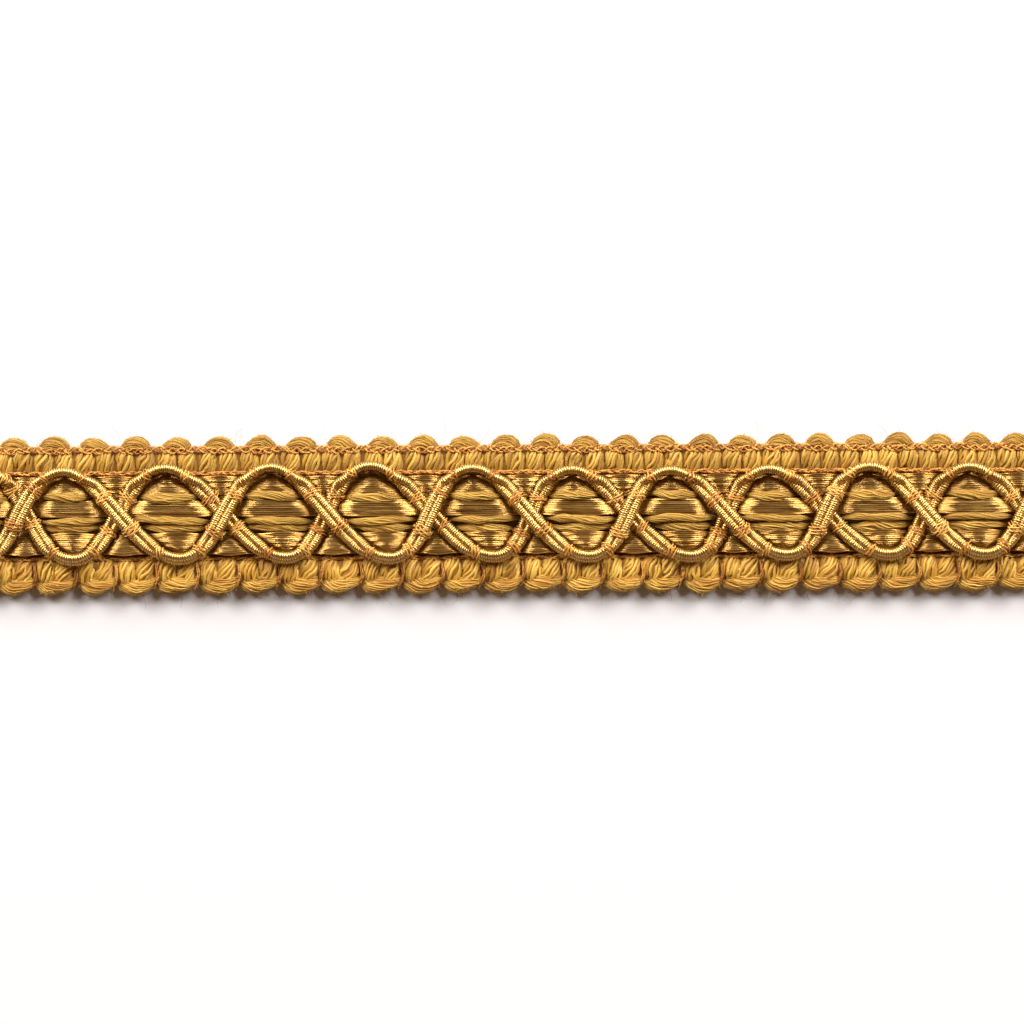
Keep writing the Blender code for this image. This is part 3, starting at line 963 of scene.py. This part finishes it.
# %% Turn the border loops
WIDTH = 15.0
LOOP_SHORTFALL = (0.0, 0.14, 0.05, 0.18, 0.02, 0.10, 0.07)
LOWER_SHORTFALL_START = 3
RIB_OFFSET = 0.95
RIB = [
    # along towards the loop's middle, across, height, girth
    (-0.02, 3.98, 0.74, 0.88), (0.00, 4.55, 1.06, 1.04), (0.00, 5.10, 1.20, 1.10),
    (0.00, 5.65, 1.18, 1.07), (0.00, 6.10, 1.00, 0.92), (0.08, 6.45, 0.86, 0.72),
]
RIB_CONVERGE = {"upper": 0.05, "lower": 0.30}
CONVERGE_FROM, CONVERGE_WIDTH = 4.6, 1.8
LEAF_FOOT = 6.15
LEAF_INSET = {"upper": 0.66, "lower": 0.82}
LEAF = {
    # along, share of the way out, height, girth
    "upper": [
        (-1.75, 0.00, 0.92, 0.36), (-1.18, 0.18, 0.96, 0.58), (-0.60, 0.80, 1.00, 0.88),
        (0.00, 1.00, 1.02, 0.98),
        (0.60, 0.78, 1.00, 0.88), (1.18, 0.16, 0.96, 0.58), (1.75, 0.00, 0.92, 0.36),
    ],
    "lower": [
        (-1.76, 0.02, 0.66, 0.46), (-1.28, 0.54, 0.82, 0.76), (-0.64, 0.95, 1.02, 0.97),
        (0.00, 1.00, 1.14, 0.98),
        (0.72, 0.68, 1.20, 0.88), (1.38, 0.22, 1.22, 0.70), (1.94, -0.14, 1.20, 0.46),
    ],
}
STRAY = (0.09, 0.07, 0.04, 0.07)
LEAF_SKEW = 0.2
YARN_HALF = 0.86
RIB_PLY, LEAF_PLY = 0.17, 0.105
RIB_LAY, LEAF_LAY = {"upper": 8.5, "lower": 7.0}, 15.0


def border_path(rows, side, number):
    """A path of a loop from rows of along, across, height and girth, with small irregularities."""
    sign = 1 if side == "upper" else -1
    rows = np.array(rows) + chance.uniform(-1, 1, (len(rows), 4)) * STRAY
    rows[:, 0] = place_along((number + 0.5) * LOOP_PITCH - LENGTH / 2 + rows[:, 0], sign * rows[:, 1])
    rows[:, 1] *= sign
    curve = rounded(rows)
    curve = curve[np.abs(curve[:, 0]) < LENGTH / 2]
    return path(curve[:, :3], girth=curve[:, 3])


def rib_paths(side):
    paths = []
    for number in range(LOOPS):
        for hand in (-1, 1):
            rows = np.array(RIB)
            lean = RIB_CONVERGE[side] * smooth_step((rows[:, 1] - CONVERGE_FROM) / CONVERGE_WIDTH)
            rows[:, 0] = hand * (RIB_OFFSET - rows[:, 0] - lean)
            paths.append(border_path(rows, side, number))
    return paths


def leaf_paths(side):
    first = 0 if side == "upper" else LOWER_SHORTFALL_START
    paths = []
    for number in range(LOOPS):
        crest = WIDTH / 2 - LOOP_SHORTFALL[(number + first) % len(LOOP_SHORTFALL)] - LEAF_INSET[side]
        rows = np.array(LEAF[side])
        rows[:, 0] += chance.uniform(-LEAF_SKEW, LEAF_SKEW) * rows[:, 1]
        rows[:, 1] = LEAF_FOOT + rows[:, 1] * (crest - LEAF_FOOT)
        paths.append(border_path(rows, side, number))
    return paths


# The lower border takes the soft yarn with colours painted lighter, against the shade on that side.
borders, leaves = {}, {}
for side, side_finish in (("upper", SOFT_YARN), ("lower", EDGE_YARN_PAINTED_LIGHTER)):
    borders[side] = spin(
        f"border_{side}", rib_paths(side), side_finish, plies=12, ply=RIB_PLY, lay=YARN_HALF - RIB_PLY,
        flatness=0.60, length=RIB_LAY[side], step=0.32, sides=4, core=0.62, waver=1.6, unevenness=0.42,
    )
    leaves[side] = spin(
        f"leaves_{side}", leaf_paths(side), side_finish, plies=20, ply=LEAF_PLY, lay=YARN_HALF - LEAF_PLY,
        flatness=0.66, length=LEAF_LAY, step=0.32, sides=3, core=0.76, waver=0.9, unevenness=0.26,
    )

# %% [markdown]
# ## Ground and back
# Under the ribs the band is a thin close weave. It is modelled as one sheet, and it only shows as
# dark gaps between the ribs. On the back the soft yarn crosses from border to border in flat rows,
# with rows of the same fine thread over it.

# %% Weave the ground
GROUND_EDGE = 6.60
GROUND_BACK = 0.42
GROUND_FACE = 0.80
GROUND_GRID = (121, 31)
BORDER_RISE = 0.45
BORDER_FROM, INNER_SLOPE, OUTER_SLOPE = 3.9, 0.6, 0.5


def ground_rings():
    """Sections of the ground, with its face raised under the ribs of each border."""
    along = np.linspace(-LENGTH / 2, LENGTH / 2, GROUND_GRID[0])
    across = np.linspace(-GROUND_EDGE, GROUND_EDGE, GROUND_GRID[1])
    inside = (np.abs(across) - BORDER_FROM) / INNER_SLOPE
    outside = (GROUND_EDGE - np.abs(across)) / OUTER_SLOPE
    height = GROUND_FACE + BORDER_RISE * smooth_step(inside) * smooth_step(outside)
    rings = []
    for x in along:
        face = [(x, y, z) for y, z in zip(across, height)]
        back = [(x, y, GROUND_BACK) for y in across[::-1]]
        rings.append(back[::-1] + face[::-1])
    return np.array(rings)[:, ::-1]


ground = loft("woven_ground", ground_rings(), GROUND_CLOTH)
print("ground:", len(ground.data.polygons), "faces")

# %% Cross the back with soft yarn
BACK_ACROSS = np.linspace(-6.5, 6.5, 14)
BACK_HEIGHT = 0.40
BACK_STRAY = 0.08


def back_rows():
    """Flat rows of soft yarn from border to border, two for each loop."""
    paths = []
    for row in range(2 * LOOPS):
        x = np.full_like(BACK_ACROSS, (row + 0.5) * LOOP_PITCH / 2 - LENGTH / 2)
        along = place_along(x, BACK_ACROSS) + BACK_STRAY * slow_noise(len(x), 3)
        paths.append(path(np.column_stack((along, BACK_ACROSS, np.full_like(x, BACK_HEIGHT)))))
    return paths


back_yarn = spin("back_yarn", back_rows(), SOFT_YARN, plies=6, ply=0.165, lay=0.70, flatness=0.32,
                 length=16.0, step=1.0, sides=3, core=0.66, waver=0.8, unevenness=0.20)

# %% [markdown]
# ## Bindings
# Three fine threads are plaited over the ribs in each binding row. Plaiting is three sine waves, a
# third of a turn apart, that rise where they cross.

# %% Plait the binding rows
BINDINGS = [
    # name, across, height, half its width, sway
    ("binding_upper_edge", 6.22, 1.60, 0.27, 0.10),
    ("binding_upper_inner", 4.06, 1.38, 0.13, 0.0),
    ("binding_lower_inner", -4.06, 1.34, 0.11, 0.0),
]
BACK_THREADS = (-5.9, -3.0, 0.0, 3.0, 5.9)
PLAIT_PITCH = LOOP_PITCH / 2
PLAIT_STEP = 0.12
PLAIT_UNEVEN, PLAIT_STRAY, PLAIT_DIP = 0.9, 0.05, 0.12


def plait(across, height, half, sway=0.0, lift=0.09):
    """Three threads that cross. The row sways outward in the notches between loops, and dips between
    two ribs."""
    grid = np.arange(-LENGTH / 2, LENGTH / 2 + 0.01, PLAIT_STEP)
    along = place_along(grid, across)
    row = across + sway * np.cos(2 * np.pi * grid / LOOP_PITCH)
    dip = PLAIT_DIP * np.cos(2 * np.pi * grid / PLAIT_PITCH)
    paths = []
    for thread in range(3):
        late = PLAIT_UNEVEN * slow_noise(len(grid), 9)
        phase = 2 * np.pi * (grid / PLAIT_PITCH + thread / 3) + late
        y = row + half * np.sin(phase) + PLAIT_STRAY * slow_noise(len(grid), 6)
        paths.append(path(np.column_stack((along, y, height + lift * np.sin(2 * phase) - dip))))
    return paths


def binding_yarn(name, paths, plies=2, ply=0.066, step=0.25):
    return spin(name, paths, BINDING_THREAD, plies=plies, ply=ply, lay=0.055, length=0.6, step=step,
                sides=4, waver=0.8, unevenness=0.2)


bindings = {
    name: binding_yarn(name, plait(across, height, half, sway))
    for name, across, height, half, sway in BINDINGS
}
back_paths = [
    one for across in BACK_THREADS for one in plait(across, height=0.25, half=0.10, lift=0.0)[:2]
]
back_threads = binding_yarn("back_threads", back_paths, plies=1, ply=0.09, step=0.5)

# %% [markdown]
# Along the lower edge the thread shows as short slanting stitches in the notch between two loops.

# %% Stitch the lower notches
STITCH = [
    # along, across, height
    (-0.38, -6.95, 0.96), (-0.30, -6.62, 1.28), (-0.10, -6.22, 1.52), (0.08, -5.80, 1.66),
    (0.12, -5.35, 1.66), (0.02, -4.90, 1.58), (-0.04, -4.50, 1.46),
]
STITCH_STRAY = 0.05
NEXT_THREAD = (0.15, -0.07)


def stitch_paths():
    paths = []
    for notch in range(1, LOOPS):
        middle = notch * LOOP_PITCH - LENGTH / 2
        for thread in range(2):
            rows = np.array(STITCH) + chance.uniform(-STITCH_STRAY, STITCH_STRAY, (len(STITCH), 3))
            rows[:, 0] += middle + NEXT_THREAD[0] * thread
            rows[:, 1] += NEXT_THREAD[1] * thread
            rows[:, 0] = place_along(rows[:, 0], rows[:, 1])
            paths.append(path(rounded(rows)))
    return paths


edge_stitches = binding_yarn("edge_stitches", stitch_paths(), ply=0.055)

# %% [markdown]
# ## Fuzz
# Soft yarn sheds short hairs, which make the outer loops look hazy. A second small tree scatters
# points on the loops and stands a fine hair on each.

# %% Scatter the fuzz
FUZZ_INPUTS = {
    "Yarn": "Geometry", "Hair": "Object", "Density": "Float", "Edge": "Float", "Seed": "Int",
    "Finish": "Material",
}
HAIR_RINGS = [
    # along, height and radius of each end, as shares of the hair's length
    (0.0, 0.0, 0.026), (0.18, 0.95, 0.010),
]
# least and most, by the number of the random node's socket
HAIR_LENGTHS = {2: 0.00020, 3: 0.00065}
HAIR_LEAN = {0: (-0.9, -0.9, -3.1), 1: (0.9, 0.9, 3.1)}
HAIRS_PER_SQUARE_METRE = 5.4e6
FUZZ_FROM = 6.3


def hair_mesh():
    """One short hair of unit length, three-sided, which tapers to its tip."""
    turns = 2 * np.pi * np.arange(3) / 3
    rings = [
        [(x + radius * np.cos(turn), radius * np.sin(turn), z) for turn in turns]
        for x, z, radius in HAIR_RINGS
    ]
    return loft("hair", np.array(rings) / MM, SOFT_YARN)


def fuzz_tree():
    plan, given = open_tree("fuzz", FUZZ_INPUTS)
    position = plan.node("GeometryNodeInputPosition")
    across = plan.node("ShaderNodeSeparateXYZ", {}, {"Vector": position}, 1)
    outside = across.maths("ABSOLUTE", across) > given["Edge"]
    scattered = {
        "Mesh": given["Yarn"], "Density": given["Density"], "Seed": given["Seed"], "Selection": outside,
    }
    points = plan.node("GeometryNodeDistributePointsOnFaces", {}, scattered)
    vectors, numbers = {"data_type": "FLOAT_VECTOR"}, {"data_type": "FLOAT"}
    lean = plan.node("FunctionNodeRandomValue", vectors, {**HAIR_LEAN, "Seed": 5}, 0)
    leaning = {"Rotation": points.output("Rotation"), "Rotate By": lean}
    turned = plan.node("FunctionNodeRotateRotation", {"rotation_space": "LOCAL"}, leaning)
    length = plan.node("FunctionNodeRandomValue", numbers, {**HAIR_LENGTHS, "Seed": 6}, 1)
    hair = plan.node("GeometryNodeObjectInfo", {}, {"Object": given["Hair"]}).output("Geometry")
    placed = {"Points": points, "Instance": hair, "Rotation": turned, "Scale": length}
    close_tree(plan, plan.node("GeometryNodeInstanceOnPoints", {}, placed), given["Finish"])
    return plan.tree


FUZZ = fuzz_tree()
hair = hair_mesh()
fuzz_sizes = {"Hair": hair, "Density": HAIRS_PER_SQUARE_METRE, "Edge": FUZZ_FROM * MM, "Finish": SOFT_YARN}
fuzz = [
    grow(f"fuzz_{side}", leaves[side], FUZZ, {**fuzz_sizes, "Seed": seed})
    for seed, side in enumerate(("upper", "lower"), 3)
]
bpy.data.objects.remove(hair, do_unlink=True)

# %% [markdown]
# A few hairs are longer. Most of them trail out over the shadow below the lower edge.

# %% Trail some long hairs
LONG_HAIRS = 70
UPPER_HAIR_EVERY = 4
HAIR_ROOT = 6.9
HAIR_LINKS = 6
HAIR_DROOP = 0.85


def hair_paths():
    """Hairs that leave the edge outwards, curl a little and sink."""
    paths = []
    for number in range(LONG_HAIRS):
        sign = -1 if number % UPPER_HAIR_EVERY else 1
        x = chance.uniform(-LENGTH / 2 + 2, LENGTH / 2 - 2)
        heading, reach = chance.uniform(-2.6, -0.5), chance.uniform(0.2, 0.35)
        curl = chance.uniform(-0.5, 0.5)
        points = [(x, HAIR_ROOT * sign, chance.uniform(0.7, 1.2))]
        for _ in range(HAIR_LINKS):
            heading += curl * 0.5
            x, y, z = points[-1]
            step = (reach * np.cos(heading), sign * reach * np.sin(heading))
            points.append((x + step[0], y - step[1], z * HAIR_DROOP))
        paths.append(path(points))
    return paths


long_hairs = spin("long_hairs", hair_paths(), SOFT_YARN, ply=0.014, step=0.12, sides=3)

# %% [markdown]
# ## Put the pieces on the braid
# Every piece rides on the one body of the braid, and the solids that the pieces stand for are hidden.

# %% Put each piece on the body and hide the solids it stands for
SLOTS = {
    "gimp_wrap": [*gimp.values(), gimp_cores],
    "binding_thread": [ties, *bindings.values(), back_threads, edge_stitches],
    "satin_floss": [*floss.values(), *floss_beds],
    "soft_yarn": [
        *soft_along.values(), *borders.values(), *leaves.values(), ground, back_yarn, *fuzz, long_hairs,
    ],
}
triangles = 0
for slot_name, pieces in SLOTS.items():
    for piece in pieces:
        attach(piece, "root")
        piece.data.calc_loop_triangles()
        triangles += len(piece.data.loop_triangles)

for piece in [ground, *borders.values(), *leaves.values()]:
    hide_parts("braided_ground")
for name, piece in bindings.items():
    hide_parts(name)
for name, piece in {**floss, **soft_along}.items():
    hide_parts(name.replace("_", "_strand_"))
for name, piece in gimp.items():
    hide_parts("gimp_cord_" + name.split("_")[0])
print("triangles in all:", triangles)
